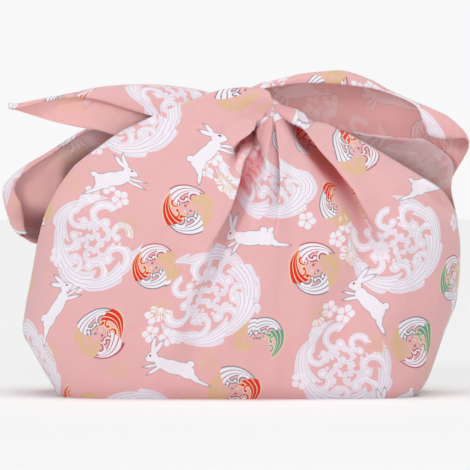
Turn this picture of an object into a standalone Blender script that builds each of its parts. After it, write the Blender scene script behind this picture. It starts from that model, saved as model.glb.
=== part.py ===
"""A furoshiki: one square of printed cotton, its corners tied in a knot over a parcel since taken out.

Metres, +Z up. The front faces -Y, the base lies on z = 0, and the origin is under the middle of the outline.
The tables are in millimetres. Every panel is a sheet worked out as a grid of points, thickened by Solidify.
"""

import math

import bmesh
import bpy
import numpy as np

MM = 0.001
CLOTH_THICKNESS = 1.0
KNOT_POINT = (19.0, 144.5)  # x and z where the pleats of both panels meet
PANEL_ROWS = 15  # steps from the knot to a panel's edge
KNOT_CROWDING = 1.3  # above 1 brings the rows closer together near the knot
EDGE_CROWDING = 2.3  # above 1 brings the rows closer together near the edge
HEM_CROWDING = 1.3  # the same for the free hems
HEM_BLEND = 12.0  # degrees over which one crowding becomes the other
CLOSEST_COLUMNS = 1.1  # degrees between the closest columns of a panel
BASE_ROWS = 4  # steps across the flat base
# share of the width by which a free hem stops short of where the panel would turn in
FRONT_HEM_FULLNESS = 0.045
BACK_HEM_FULLNESS = 0.10
HEM_RISE = 18.0  # height over which a hem leaves the middle plane
NECK_DEPTH = 10.5  # how far the pleats stand from the middle plane at the knot point
NECK_REACH = 38.0  # distance from the knot point at which a panel has its full bulge
WRAP_START = 172.0  # angle at which the front panel starts to roll over the knot
WRAP_TURN = 32.0  # degrees over which it comes to roll fully
WRAP_ROLL = 95.0  # degrees that the full roll turns through, from the front over the top
CREST_ROUNDING = 1.9  # smallest radius of a fold's crest, in thicknesses of the cloth
LEFT_SHOULDER = 75.0  # height where the left side opens
RIGHT_SHOULDER = 91.0  # height where the right side opens
HEM_BOW_FRONT = 4.2  # the front's right hem arches up between the knot and its shoulder
HEM_BOW_BACK = -4.5  # the back's right hem sags between the knot and its corner
FRONT_BOW_CROWDING = 0.6  # below 1 moves the middle of the arch towards the knot
SECTION_BLUR = 2.0  # rounding of the outline between the heights in the tables

# Level sections of the front panel: height, left edge, right edge, how far it bulges, squareness.
FRONT_SECTIONS = np.array(
    [
        (0.0, -88.0, 90.0, 46.0, 4.0),
        (5.0, -91.0, 95.0, 51.0, 3.8),
        (15.0, -97.0, 99.0, 55.0, 3.5),
        (31.0, -106.5, 104.5, 58.0, 3.1),
        (45.0, -104.5, 110.5, 58.0, 2.9),
        (60.0, -101.5, 112.4, 56.0, 2.7),
        (75.0, -99.0, 112.7, 53.0, 2.6),
        (91.0, -94.5, 110.7, 47.0, 2.5),
        (104.0, -88.0, 102.5, 40.0, 2.4),
        (115.0, -80.0, 79.5, 33.0, 2.3),
        (123.0, -69.0, 66.5, 27.0, 2.2),
        (131.5, -57.5, 52.5, 21.0, 2.2),
        (138.5, -42.5, 37.0, 15.0, 2.2),
        (144.0, -30.0, 22.0, 10.0, 2.2),
        (148.5, -17.5, 17.5, 7.0, 2.2),
        (151.0, -9.0, 16.5, 5.0, 2.2),
    ],
    dtype=[("z", float), ("left", float), ("right", float), ("bulge", float), ("square", float)],
)

# The back panel above its shoulders, with the wing that stands out on each side.
BACK_UPPER_SECTIONS = np.array(
    [
        (77.0, -105.5, 112.7, 52.0, 2.6),
        (81.0, -112.0, 112.5, 50.0, 2.6),
        (91.0, -115.0, 110.7, 46.0, 2.5),
        (102.0, -117.3, 108.5, 39.0, 2.4),
        (108.0, -113.5, 109.3, 34.0, 2.4),
        (114.0, -106.0, 110.3, 29.0, 2.3),
        (120.0, -95.0, 106.5, 24.0, 2.3),
        (126.0, -86.0, 97.5, 20.0, 2.2),
        (130.0, -80.0, 90.5, 17.0, 2.2),
        (133.0, -75.0, 76.0, 15.0, 2.2),
        (141.0, -45.0, 37.0, 10.0, 2.2),
        (147.0, -17.0, 19.0, 7.0, 2.2),
        (150.0, -5.0, 16.0, 6.0, 2.2),
    ],
    dtype=FRONT_SECTIONS.dtype,
)

# The edge of the front panel where it wraps over the knot: angle and distance from the knot point.
WRAP_EDGE = np.array(
    [(103.0, 9.0), (117.0, 11.2), (139.0, 14.8), (154.0, 21.0), (166.0, 29.5)],
    dtype=[("angle", float), ("radius", float)],
)

# The knot itself: the middle of the lump of tied cloth, its half sizes, and the creases round it.
KNOT_CENTRE = (5.0, 1.5, 142.5)
KNOT_HALF_SIZE = (19.0, 11.0, 8.0)
KNOT_CREASES = 7
KNOT_CREASE_DEPTH = 0.10
KNOT_SEGMENTS = 22
KNOT_RINGS = 10

# Folds that run from the knot: the angle in degrees, anticlockwise from +X as seen from the front; the
# height of the fold; how far its crest leans over the next pleat (to the right where positive); its half
# width in degrees; and where, from the knot, it is at its highest and where it has died away.
FOLD_COLUMNS = [
    ("angle", float),
    ("height", float),
    ("lean", float),
    ("half_width", float),
    ("full_at", float),
    ("gone_at", float),
]
FRONT_TUCKS = np.array(
    [
        (231.5, 7.0, 1.8, 5.2, 34.0, 100.0),
        (272.5, 4.5, -1.2, 4.0, 38.0, 96.0),
        (311.5, 7.5, -2.0, 5.4, 42.0, 108.0),
    ],
    dtype=FOLD_COLUMNS,
)
FRONT_RIDGES = np.array(
    [
        (246.0, 4.5, 0.0, 5.0, 34.0, 80.0),
        (257.0, -3.0, 0.0, 4.5, 40.0, 90.0),
        (267.0, 1.8, 0.0, 2.6, 20.0, 44.0),
        (301.0, -3.5, 0.0, 5.0, 46.0, 110.0),
        (322.0, 2.5, 0.0, 6.0, 50.0, 100.0),
    ],
    dtype=FOLD_COLUMNS,
)
BACK_TUCKS = np.array(
    [
        (228.0, 5.5, 1.6, 5.0, 34.0, 92.0),
        (262.0, 4.5, -1.4, 4.5, 38.0, 96.0),
        (304.0, 6.0, 1.8, 5.0, 38.0, 96.0),
    ],
    dtype=FOLD_COLUMNS,
)
BACK_RIDGES = np.array(
    [
        (245.0, 3.5, 0.0, 5.0, 36.0, 90.0),
        (282.0, -3.0, 0.0, 5.0, 40.0, 100.0),
        (318.0, 3.0, 0.0, 5.0, 44.0, 100.0),
    ],
    dtype=FOLD_COLUMNS,
)

# The tied ends. Each row is a section across the end: its place along X, the foot of the far wall, the
# ridge, how far the near lip hangs from the ridge, and the depth of the wall, of the ridge and of the lip's
# hem.
END_COLUMNS = [
    ("x", float),
    ("foot", float),
    ("ridge", float),
    ("lip", float),
    ("wall_y", float),
    ("ridge_y", float),
    ("lip_y", float),
]
LEFT_END = np.array(
    [
        (4.0, 139.0, 146.0, 3.0, 8.0, 4.0, 0.0),
        (-14.0, 134.0, 151.0, 11.0, 14.0, 7.0, 2.0),
        (-30.0, 132.0, 153.5, 17.0, 15.0, 7.0, -1.0),
        (-42.5, 131.5, 154.5, 16.0, 15.0, 6.0, -2.0),
        (-55.0, 132.0, 154.3, 11.6, 14.0, 4.0, -4.0),
        (-67.0, 132.5, 153.3, 6.5, 12.0, 2.0, -5.0),
        (-78.0, 133.6, 151.2, 2.6, 9.0, 0.0, -5.0),
        (-90.0, 136.0, 149.0, 1.8, 5.0, -2.0, -6.0),
        (-100.0, 139.0, 147.0, 2.0, 1.0, -5.0, -8.0),
        (-108.0, 141.6, 145.6, 2.6, -4.0, -7.0, -10.0),
        (-113.0, 142.6, 145.8, 2.6, -8.0, -9.0, -11.0),
    ],
    dtype=END_COLUMNS,
)
RIGHT_END = np.array(
    [
        (8.0, 139.0, 146.0, 3.0, 9.0, 5.0, 1.0),
        (20.0, 136.0, 154.0, 3.0, 16.0, 7.0, 1.0),
        (32.5, 131.0, 160.0, 4.7, 22.0, 9.0, 2.0),
        (45.0, 126.0, 161.3, 6.0, 27.0, 12.0, 4.0),
        (55.0, 122.0, 161.5, 7.0, 30.0, 14.0, 5.0),
        (67.5, 117.0, 157.4, 4.4, 32.0, 16.0, 8.0),
        (77.5, 113.0, 152.0, 1.8, 32.0, 17.0, 11.0),
        (87.0, 109.0, 147.6, 1.4, 30.0, 16.0, 10.0),
        (92.0, 107.0, 145.4, 3.4, 28.0, 14.0, 7.0),
        (95.5, 105.5, 144.0, 13.0, 27.0, 12.0, 3.0),
        (101.0, 103.8, 141.6, 13.5, 25.0, 10.0, 1.0),
        (106.0, 102.6, 139.2, 11.5, 22.0, 8.0, 0.0),
        (111.0, 111.0, 135.2, 7.5, 18.0, 6.0, 0.0),
        (115.0, 118.0, 131.0, 3.0, 13.0, 5.0, 1.0),
        (117.3, 123.0, 127.0, 1.4, 8.0, 5.0, 3.0),
    ],
    dtype=END_COLUMNS,
)
END_STEPS = 20
WALL_STEPS = 5
LIP_STEPS = 3

# The lip of the left wing, by angle round the knot: how far it turns in and how far it comes forward.
WING_LIP = np.array(
    [(184.0, 3.5, 5.0), (189.0, 7.0, 8.0), (196.0, 12.0, 10.0), (203.0, 9.0, 9.0), (207.5, 4.0, 5.0)],
    dtype=[("angle", float), ("turn_in", float), ("forward", float)],
)

CLOTH_COLOUR = (0.90, 0.55, 0.56, 1.0)
CLOTH_ROUGHNESS = 0.85


def clear_scene():
    for old in list(bpy.data.objects):
        bpy.data.objects.remove(old, do_unlink=True)


def ease(share):
    """0 before 0, 1 after 1, and smooth between."""
    t = np.clip(share, 0.0, 1.0)
    return t * t * (3.0 - 2.0 * t)


def blurred(table, column, heights):
    """A column of a section table at any heights, rounded over SECTION_BLUR."""
    offsets = np.linspace(-2.0, 2.0, 9)
    weights = np.exp(-(offsets**2) / 2.0)
    values = [
        weight * np.interp(heights + offset * SECTION_BLUR, table["z"], table[column])
        for offset, weight in zip(offsets, weights)
    ]
    return sum(values) / weights.sum()


def back_sections():
    shared = FRONT_SECTIONS[FRONT_SECTIONS["z"] <= LEFT_SHOULDER]
    return np.concatenate([shared, BACK_UPPER_SECTIONS])


def edge_radius(table, angles):
    """How far the outline of a section table lies from the knot point, at each angle in degrees."""
    heights = np.linspace(table["z"][0], table["z"][-1], 400)
    left = np.stack([blurred(table, "left", heights), heights], axis=1)
    right = np.stack([blurred(table, "right", heights), heights], axis=1)
    base_x = np.linspace(left[0, 0], right[0, 0], 120)
    base = np.stack([base_x, np.zeros_like(base_x)], axis=1)
    outline = np.concatenate([left[::-1], base[1:-1], right]) - np.array(KNOT_POINT)
    turn = np.degrees(np.arctan2(outline[:, 1], outline[:, 0])) % 360.0
    reach = np.linalg.norm(outline, axis=1)
    below = turn > WRAP_EDGE["angle"][-1] + 1.0
    turn = np.concatenate([WRAP_EDGE["angle"], turn[below]])
    reach = np.concatenate([WRAP_EDGE["radius"], reach[below]])
    keep = np.concatenate([[True], np.diff(np.maximum.accumulate(turn)) > 1e-6])
    return np.interp(angles, turn[keep], reach[keep])


def edge_angle(table, column, height):
    """The angle round the knot point of the outline at one height."""
    x = float(blurred(table, column, np.array([height]))[0])
    return math.degrees(math.atan2(height - KNOT_POINT[1], x - KNOT_POINT[0])) % 360.0


def openness(x, z):
    """0 below the shoulders, where front and back are one, and 1 well above them, where the sides open."""
    share = ease((x + 60.0) / 120.0)
    shoulder = LEFT_SHOULDER + share * (RIGHT_SHOULDER - LEFT_SHOULDER)
    return ease((z - shoulder) / HEM_RISE)


def bulge_depth(table, x, z, fullness):
    """How far a panel stands from the middle plane: a superellipse across each level section, which the free
    hems leave before it turns in."""
    left, right = blurred(table, "left", z), blurred(table, "right", z)
    across = np.abs((2.0 * x - left - right) / (right - left))
    across = np.clip(across * (1.0 - fullness * openness(x, z)), 0.0, 1.0)
    square = blurred(table, "square", z)
    return blurred(table, "bulge", z) * (1.0 - across**square) ** (1.0 / square)


def fold_shift(tucks, ridges, angles, radius, room):
    """(outward, sideways) shift of each point by the folds. A tuck is a slanting wave that rises on one side
    of its line and dips on the other, leaning over as it rises; a ridge is a plain round wave. Near the knot
    a fold is only as high as its width allows without a crest too sharp for the cloth."""
    outward, sideways = np.zeros_like(radius), np.zeros_like(radius)
    for fold in [*tucks, *ridges]:
        strength = ease(radius / fold["full_at"])
        strength *= 1.0 - ease((radius - fold["full_at"]) / (fold["gone_at"] - fold["full_at"]))
        width = radius * math.radians(fold["half_width"])
        limit = width**2 / (2.0 * CREST_ROUNDING * CLOTH_THICKNESS)
        height = np.minimum(abs(fold["height"]), limit) * math.copysign(1.0, fold["height"])
        height = height * strength * room
        across = (angles - fold["angle"]) / fold["half_width"]
        if fold["lean"] == 0.0:
            outward += height * np.exp(-(across**2))
            continue
        side = math.copysign(1.0, fold["lean"])
        wave = -side * across * np.exp(0.5 * (1.0 - across**2))
        outward += height * wave
        sideways += abs(fold["lean"] / fold["height"]) * height * side * wave
    return outward, sideways


def panel_points(table, angles, tucks, ridges, front):
    """The grid of a panel: a column for each angle, and rows from the knot out to the edge."""
    fullness = FRONT_HEM_FULLNESS if front else BACK_HEM_FULLNESS
    hem_bow = HEM_BOW_FRONT if front else HEM_BOW_BACK
    bow_crowding = FRONT_BOW_CROWDING if front else 1.0
    steps = np.linspace(0.0, 1.0, PANEL_ROWS + 1)
    reach = edge_radius(FRONT_SECTIONS, angles)
    left_turn = edge_angle(FRONT_SECTIONS, "left", LEFT_SHOULDER)
    right_turn = edge_angle(FRONT_SECTIONS, "right", RIGHT_SHOULDER)
    if not front:
        free = (angles < left_turn - 1e-6) | (angles > right_turn + 1e-6)
        reach = np.where(free, edge_radius(table, angles), reach)
    turn = angles[:, None] + np.zeros((1, PANEL_ROWS + 1))
    free_by = np.maximum(left_turn - turn, turn - right_turn)
    crowding = EDGE_CROWDING + (HEM_CROWDING - EDGE_CROWDING) * ease(free_by / HEM_BLEND)
    share = 1.0 - (1.0 - steps[None, :] ** KNOT_CROWDING) ** crowding
    over = ease((WRAP_START - turn) / WRAP_TURN)
    roll = np.radians(WRAP_ROLL) * steps[None, :]
    radius = reach[:, None] * (share + (np.sin(roll) - share) * over)
    last = ease((turn - (angles[-1] - 22.0)) / 22.0)
    bow = hem_bow * np.sin(math.pi * share**bow_crowding) * last
    outward, sideways = fold_shift(tucks, ridges, turn, radius, 1.0 - share**8)
    around = np.radians(turn)
    x = KNOT_POINT[0] + radius * np.cos(around) - (sideways + bow) * np.sin(around)
    z = KNOT_POINT[1] + radius * np.sin(around) + (sideways + bow) * np.cos(around)
    z[:, -1] = np.where(np.abs(z[:, -1]) < 0.05, 0.0, z[:, -1])
    near = ease(radius / NECK_REACH)
    depth = NECK_DEPTH + (bulge_depth(table, x, np.maximum(z, 0.0), fullness) - NECK_DEPTH) * near
    depth += (NECK_DEPTH * np.cos(roll) - depth) * over
    shared = (angles >= left_turn - 1e-6) & (angles <= right_turn + 1e-6)
    on_side = shared & (z[:, -1] > 0.05)
    depth[:, -1] = np.where(on_side, 0.0, depth[:, -1])
    y = (depth + outward) * (-1.0 if front else 1.0)
    return np.stack([x, y, z], axis=2)


def column_angles(first, last, step, tucks):
    """Angles of the columns: even ones, and more of them across each tuck."""
    even = np.linspace(first, last, max(2, round((last - first) / step) + 1))
    close = []
    for share in (0.4, 1.05, 1.9):
        for side in (-share, share):
            for fold in tucks:
                angle = fold["angle"] + side * fold["half_width"]
                if first < angle < last and all(abs(angle - other) > CLOSEST_COLUMNS for other in close):
                    close.append(angle)
    far = [a for a in even[1:-1] if all(abs(a - other) > 0.4 * step for other in close)]
    inner = [a for a in close if first + CLOSEST_COLUMNS < a < last - CLOSEST_COLUMNS]
    return np.unique(np.concatenate([[first], far, inner, [last]]))


def add_grid(mesh, points, pole=False, flip=False):
    """Adds a grid of points to a bmesh; with pole, its first row is one shared point."""
    columns, rows = points.shape[:2]
    made = [[None] * rows for _ in range(columns)]
    for i in range(columns):
        for j in range(rows):
            if pole and j == 0 and i:
                made[i][j] = made[0][0]
            else:
                made[i][j] = mesh.verts.new(points[i, j] * MM)
    for i in range(columns - 1):
        for j in range(rows - 1):
            corners = [made[i][j], made[i + 1][j], made[i + 1][j + 1], made[i][j + 1]]
            corners = list(dict.fromkeys(corners))
            mesh.faces.new(corners[::-1] if flip else corners)


def base_points(front, back):
    """The flat base, between the lower edges of the two panels."""
    across = np.linspace(0.0, 1.0, BASE_ROWS + 1)[None, :, None]
    return front[:, None, :] * (1.0 - across) + back[:, None, :] * across


def lip_points(ridge, angles):
    """The lip of the left wing, which rolls over the wing's edge towards the front."""
    turn_in = np.interp(angles, WING_LIP["angle"], WING_LIP["turn_in"])[:, None]
    forward = np.interp(angles, WING_LIP["angle"], WING_LIP["forward"])[:, None]
    centre = np.array([-40.0, 95.0])
    inward = centre - ridge[:, [0, 2]]
    inward /= np.linalg.norm(inward, axis=1)[:, None]
    rows = [ridge]
    for share in np.linspace(0.0, 1.0, LIP_STEPS + 1)[1:]:
        step = ridge.copy()
        roll = share * math.pi / 2.0
        step[:, [0, 2]] += inward * turn_in * (1.0 - math.cos(roll))
        step[:, 1] -= (forward * math.sin(roll))[:, 0]
        rows.append(step)
    return np.stack(rows, axis=1)


def link_mesh(name, mesh):
    data = bpy.data.meshes.new(name)
    mesh.to_mesh(data)
    mesh.free()
    obj = bpy.data.objects.new(name, data)
    bpy.context.scene.collection.objects.link(obj)
    return obj


def thicken(obj, offset):
    """Gives a sheet its thickness: -1 on the inner side of its faces, 0 on both."""
    solid = obj.modifiers.new("thickness", "SOLIDIFY")
    solid.thickness = CLOTH_THICKNESS * MM
    solid.offset = offset


def build_body():
    """Front panel, back panel with its wings, and base, as one sheet."""
    left_turn = edge_angle(FRONT_SECTIONS, "left", LEFT_SHOULDER)
    right_turn = edge_angle(FRONT_SECTIONS, "right", RIGHT_SHOULDER)
    left_foot = edge_angle(FRONT_SECTIONS, "left", 0.0)
    right_foot = edge_angle(FRONT_SECTIONS, "right", 0.0)
    both = np.concatenate([FRONT_TUCKS, BACK_TUCKS])
    side = column_angles(left_turn, left_foot, 4.0, both)
    foot = column_angles(left_foot, right_foot, 3.6, both)
    rise = column_angles(right_foot, right_turn, 4.0, both)
    shared = np.unique(np.concatenate([side, foot, rise]))
    front_angles = np.concatenate(
        [
            column_angles(WRAP_EDGE["angle"][0], left_turn, 5.0, [])[:-1],
            shared,
            [right_turn + 2.1, right_turn + 4.2],
        ]
    )
    back_angles = np.concatenate(
        [
            column_angles(182.0, left_turn, 2.6, [])[:-1],
            shared,
            column_angles(right_turn, 347.4, 3.0, [])[1:],
        ]
    )
    front = panel_points(FRONT_SECTIONS, front_angles, FRONT_TUCKS, FRONT_RIDGES, True)
    back = panel_points(back_sections(), back_angles, BACK_TUCKS, BACK_RIDGES, False)
    mesh = bmesh.new()
    add_grid(mesh, front, pole=True)
    add_grid(mesh, back, pole=True, flip=True)
    on_base = (shared >= left_foot - 1e-6) & (shared <= right_foot + 1e-6)
    front_foot = front[np.isin(front_angles, shared[on_base]), -1]
    back_foot = back[np.isin(back_angles, shared[on_base]), -1]
    add_grid(mesh, base_points(front_foot, back_foot))
    wing = (back_angles >= WING_LIP["angle"][0]) & (back_angles <= WING_LIP["angle"][-1])
    add_grid(mesh, lip_points(back[wing, -1], back_angles[wing]), flip=True)
    bmesh.ops.remove_doubles(mesh, verts=mesh.verts, dist=0.02 * MM)
    bmesh.ops.dissolve_degenerate(mesh, edges=mesh.edges, dist=0.01 * MM)
    bmesh.ops.recalc_face_normals(mesh, faces=mesh.faces)
    return link_mesh("furoshiki_cloth", mesh)


def end_points(table):
    """A tied end: its section runs up the far wall, over the ridge and down the lip, all along it."""
    along = np.linspace(0.0, 1.0, len(table))
    steps = np.linspace(0.0, 1.0, END_STEPS + 1)
    row = {name: np.interp(steps, along, table[name]) for name in table.dtype.names}
    points = []
    for share in np.linspace(0.0, 1.0, WALL_STEPS + 1):
        z = row["foot"] + (row["ridge"] - row["foot"]) * math.sin(share * math.pi / 2.0)
        y = row["wall_y"] + (row["ridge_y"] - row["wall_y"]) * (1.0 - math.cos(share * math.pi / 2.0))
        points.append(np.stack([row["x"], y, z], axis=1))
    for share in np.linspace(0.0, 1.0, LIP_STEPS + 1)[1:]:
        z = row["ridge"] - row["lip"] * (1.0 - math.cos(share * math.pi / 2.0))
        y = row["ridge_y"] + (row["lip_y"] - row["ridge_y"]) * math.sin(share * math.pi / 2.0)
        points.append(np.stack([row["x"], y, z], axis=1))
    return np.stack(points, axis=1)


def build_end(name, table, flip):
    mesh = bmesh.new()
    add_grid(mesh, end_points(table), flip=flip)
    obj = link_mesh(name, mesh)
    thicken(obj, 0.0)
    return obj


def build_knot():
    """A rounded lump with creases that run over it from left to right."""
    mesh = bmesh.new()
    bmesh.ops.create_uvsphere(mesh, u_segments=KNOT_SEGMENTS, v_segments=KNOT_RINGS, radius=1.0)
    for vert in mesh.verts:
        x, y, z = vert.co
        roll = math.atan2(y, z) + 0.5 * x
        pinch = 1.0 - KNOT_CREASE_DEPTH * (1.0 - x * x) * (0.5 + 0.5 * math.cos(KNOT_CREASES * roll))
        place = (x, y * pinch, z * pinch)
        vert.co = [(c + h * p) * MM for c, h, p in zip(KNOT_CENTRE, KNOT_HALF_SIZE, place)]
    return link_mesh("knot", mesh)


def join(obj, others):
    """Unites the others with obj, as one closed body."""
    for other in others:
        union = obj.modifiers.new("union", "BOOLEAN")
        union.operation = "UNION"
        union.solver = "EXACT"
        union.object = other
        other.hide_render = True
        other.display_type = "WIRE"


def islands(mesh):
    """The separate closed surfaces of a bmesh, as lists of faces."""
    left, found = set(mesh.faces), []
    while left:
        stack = [left.pop()]
        island = []
        while stack:
            face = stack.pop()
            island.append(face)
            for edge in face.edges:
                for other in edge.link_faces:
                    if other in left:
                        left.remove(other)
                        stack.append(other)
        found.append(island)
    return found


def span(faces):
    """Length of the diagonal of the box around some faces."""
    points = np.array([vert.co for face in faces for vert in face.verts])
    return float(np.linalg.norm(points.max(axis=0) - points.min(axis=0)))


def settle(obj, others):
    """Works out obj's modifiers, keeps its outer surface, so that pockets closed in by the knot are solid,
    and stands it over the origin."""
    done = obj.evaluated_get(bpy.context.evaluated_depsgraph_get())
    mesh = bmesh.new()
    mesh.from_mesh(done.to_mesh())
    found = sorted(islands(mesh), key=span)
    for island in found[:-1]:
        bmesh.ops.delete(mesh, geom=island, context="FACES")
    loose = [vert for vert in mesh.verts if not vert.link_faces]
    bmesh.ops.delete(mesh, geom=loose, context="VERTS")
    obj.modifiers.clear()
    points = np.array([vert.co for vert in mesh.verts])
    middle = (points.max(axis=0) + points.min(axis=0)) / 2.0
    bmesh.ops.translate(mesh, verts=mesh.verts, vec=(-middle[0], -middle[1], -points[:, 2].min()))
    mesh.to_mesh(obj.data)
    mesh.free()
    for other in others:
        bpy.data.objects.remove(other, do_unlink=True)


def build_material():
    material = bpy.data.materials.new("printed_cotton")
    material.use_nodes = True
    shader = material.node_tree.nodes["Principled BSDF"]
    shader.inputs["Base Color"].default_value = CLOTH_COLOUR
    shader.inputs["Roughness"].default_value = CLOTH_ROUGHNESS
    shader.inputs["Metallic"].default_value = 0.0
    return material


def main():
    clear_scene()
    body = build_body()
    thicken(body, -1.0)
    ends = [build_end("left_end", LEFT_END, False), build_end("right_end", RIGHT_END, True)]
    pieces = [build_knot(), *ends]
    join(body, pieces)
    settle(body, pieces)
    material = build_material()
    for obj in bpy.data.objects:
        obj.data.materials.append(material)


main()
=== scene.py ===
# A furoshiki of printed cotton, tied over a flat base. The frame holds its plain solid, and this script makes
# the fine cloth: the folds that fan from the knot, the hems, the wrinkles and the print.
# Lengths are millimetres until a mesh is made, and angles round the knot are degrees, anticlockwise from +X.

import math

import bmesh
import bpy
import numpy as np
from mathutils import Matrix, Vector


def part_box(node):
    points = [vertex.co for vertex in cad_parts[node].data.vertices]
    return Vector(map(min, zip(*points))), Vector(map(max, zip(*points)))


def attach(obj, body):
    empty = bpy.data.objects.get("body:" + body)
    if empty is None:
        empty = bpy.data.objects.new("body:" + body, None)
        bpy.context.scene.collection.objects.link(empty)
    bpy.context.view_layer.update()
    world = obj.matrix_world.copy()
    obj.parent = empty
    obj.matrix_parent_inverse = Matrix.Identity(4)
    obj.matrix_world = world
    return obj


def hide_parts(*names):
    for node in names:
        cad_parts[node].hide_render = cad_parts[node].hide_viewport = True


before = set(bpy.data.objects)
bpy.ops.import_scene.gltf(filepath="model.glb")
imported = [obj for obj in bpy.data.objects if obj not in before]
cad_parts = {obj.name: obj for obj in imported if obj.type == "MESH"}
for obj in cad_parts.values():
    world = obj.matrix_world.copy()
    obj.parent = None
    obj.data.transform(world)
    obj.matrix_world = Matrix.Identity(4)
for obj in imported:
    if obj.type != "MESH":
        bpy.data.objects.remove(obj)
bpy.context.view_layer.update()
print("frame loaded")

mm = 0.001

cloth = {
    "knot": (19.0, 144.5),  # x and z where the pleats meet
    "neckDepth": 10.5,
    "neckReach": 38.0,
    "leftShoulder": 75.0,  # heights where the sides open
    "rightShoulder": 91.0,
    "hemRise": 18.0,
    "sectionBlur": 2.0,  # rounding of the outline between the heights in the tables
    "baseFront": 58.0,
    "rows": 70,
    "columnAt": (190.0, 218.0, 330.0, 346.0),  # angles, and the columns' spacing there
    "columnStep": (1.3, 0.66, 0.66, 1.0),
    "backMeets": 259.5,  # angle where the back's print meets itself
    "hiddenLength": 13.0,  # print lost in each tuck
    "beyondTucks": (14.0, 16.0),  # degrees from the outer tucks to where the print keeps its place
    "knotCrowding": 1.15,  # above 1 brings the rows closer together near the knot
    "edgeCrowding": 2.0,
    "hemCrowding": 1.2,
    "hemBlend": 12.0,
    "wrapStart": 172.0,  # the front's upper edge rolls over from this angle on
    "wrapTurn": 32.0,
    "wrapRoll": 95.0,
    "baseRows": 14,
    "thickness": 0.45,
    "longTuck": 50.0,  # the print breaks only in tucks that run further than this
    "tuckWidth": 4.4,  # widest half width of a tuck
    "foldRounding": 0.16,  # smallest radius of a crest
    "paintedShadeFades": (30.0, 64.0),  # distances from the knot between which the painted shade in the troughs pales
    "paintedShadePales": 0.85,
    "foldsFade": 8,  # power of the row's share with which folds die away at a panel's edge
    "smallFades": (0.9, 0.1),  # share of a row where creases start to die away, and over which they do
    "hemWidth": 6.0,
    "hemStep": 0.8,  # width of the step at the hem's inner edge
    "hemRaise": 0.35,
    "hemOpens": 4.0,  # degrees past a shoulder over which an edge becomes a hem
    "onTheGround": 0.05,
    "leftHemsEnd": 200.0,  # angles before and past which a panel's side is a hem
    "rightHemsStart": 300.0,
    "noHem": 99.0,  # stands for a distance far from any hem
    "wrinkle": 0.45,
    "wrinkleSizes": (31.0, 23.0, 17.0, 12.0, 8.5, 6.0),
    "cutSize": (0.50, 0.50),  # metres, the whole square
    "shownArea": 0.125,  # square metres of it that show or lie open; the rest is folded away in the knot
}

sectionColumns = [("z", float), ("left", float), ("right", float), ("bulge", float), ("square", float)]
frontSections = np.array(
    [
        (0.0, -88.0, 90.0, 46.0, 4.0),
        (5.0, -91.0, 95.0, 51.0, 3.8),
        (15.0, -97.0, 99.0, 55.0, 3.5),
        (31.0, -106.5, 104.5, 58.0, 3.1),
        (45.0, -104.5, 110.5, 58.0, 2.9),
        (60.0, -101.5, 112.4, 56.0, 2.7),
        (75.0, -99.0, 112.7, 53.0, 2.6),
        (91.0, -94.5, 110.7, 47.0, 2.5),
        (104.0, -88.0, 102.5, 40.0, 2.4),
        (115.0, -80.0, 79.5, 33.0, 2.3),
        (123.0, -69.0, 66.5, 27.0, 2.2),
        (131.5, -57.5, 52.5, 21.0, 2.2),
        (138.5, -42.5, 37.0, 15.0, 2.2),
        (144.0, -30.0, 22.0, 10.0, 2.2),
        (148.5, -17.5, 17.5, 7.0, 2.2),
        (151.0, -9.0, 16.5, 5.0, 2.2),
    ],
    dtype=sectionColumns,
)
backUpper = np.array(
    [
        (77.0, -105.5, 112.7, 52.0, 2.6),
        (81.0, -112.0, 112.5, 50.0, 2.6),
        (91.0, -115.0, 110.7, 46.0, 2.5),
        (102.0, -117.3, 108.5, 39.0, 2.4),
        (108.0, -113.5, 109.3, 34.0, 2.4),
        (114.0, -106.0, 110.3, 29.0, 2.3),
        (120.0, -95.0, 106.5, 24.0, 2.3),
        (126.0, -86.0, 97.5, 20.0, 2.2),
        (130.0, -80.0, 90.5, 17.0, 2.2),
        (133.0, -75.0, 76.0, 15.0, 2.2),
        (141.0, -45.0, 37.0, 10.0, 2.2),
        (147.0, -17.0, 19.0, 7.0, 2.2),
        (150.0, -5.0, 16.0, 6.0, 2.2),
    ],
    dtype=sectionColumns,
)
backSections = np.concatenate([frontSections[frontSections["z"] <= cloth["leftShoulder"]], backUpper])
wrapEdge = {"angle": [103.0, 117.0, 139.0, 154.0, 166.0], "radius": [6.4, 8.8, 12.9, 19.8, 29.0]}

# folds that run from the knot: angle, height, lean, half width in degrees, full at, gone at. A leaning fold
# is placed by its visible edge, a round one by its middle
frontFolds = {
    "leftHollow": (212.0, -1.2, 0.0, 7.0, 40.0, 110.0),
    "leftTuck": (227.0, 8.0, 4.4, 6.0, 18.0, 58.0),
    "valleyUnderIt": (232.0, -10.0, 0.0, 8.0, 16.0, 46.0),
    "whiteRidge": (242.0, 2.0, 0.0, 4.0, 30.0, 66.0),
    "secondTuck": (247.0, 7.5, 5.6, 4.4, 30.0, 124.0),
    "shadeHollow": (256.5, -7.0, 0.0, 5.0, 24.0, 112.0),
    "firstStrip": (265.0, 2.4, 0.0, 4.0, 14.0, 70.0),
    "stripEdge": (250.0, 4.6, -2.4, 7.0, 10.0, 42.0),
    "middleTuck": (275.0, 7.4, -4.0, 3.6, 14.0, 92.0),
    "broadPleat": (290.0, 2.8, 0.0, 8.0, 26.0, 84.0),
    "valleyBesideRight": (308.0, -12.0, 0.0, 5.4, 24.0, 80.0),
    "lowerValley": (305.5, -3.8, 0.0, 4.0, 66.0, 106.0),
    "rightTuck": (313.0, 10.0, -6.2, 5.2, 16.0, 112.0),
    "rightRidge": (328.0, 1.8, 0.0, 6.0, 50.0, 104.0),
}
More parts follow.
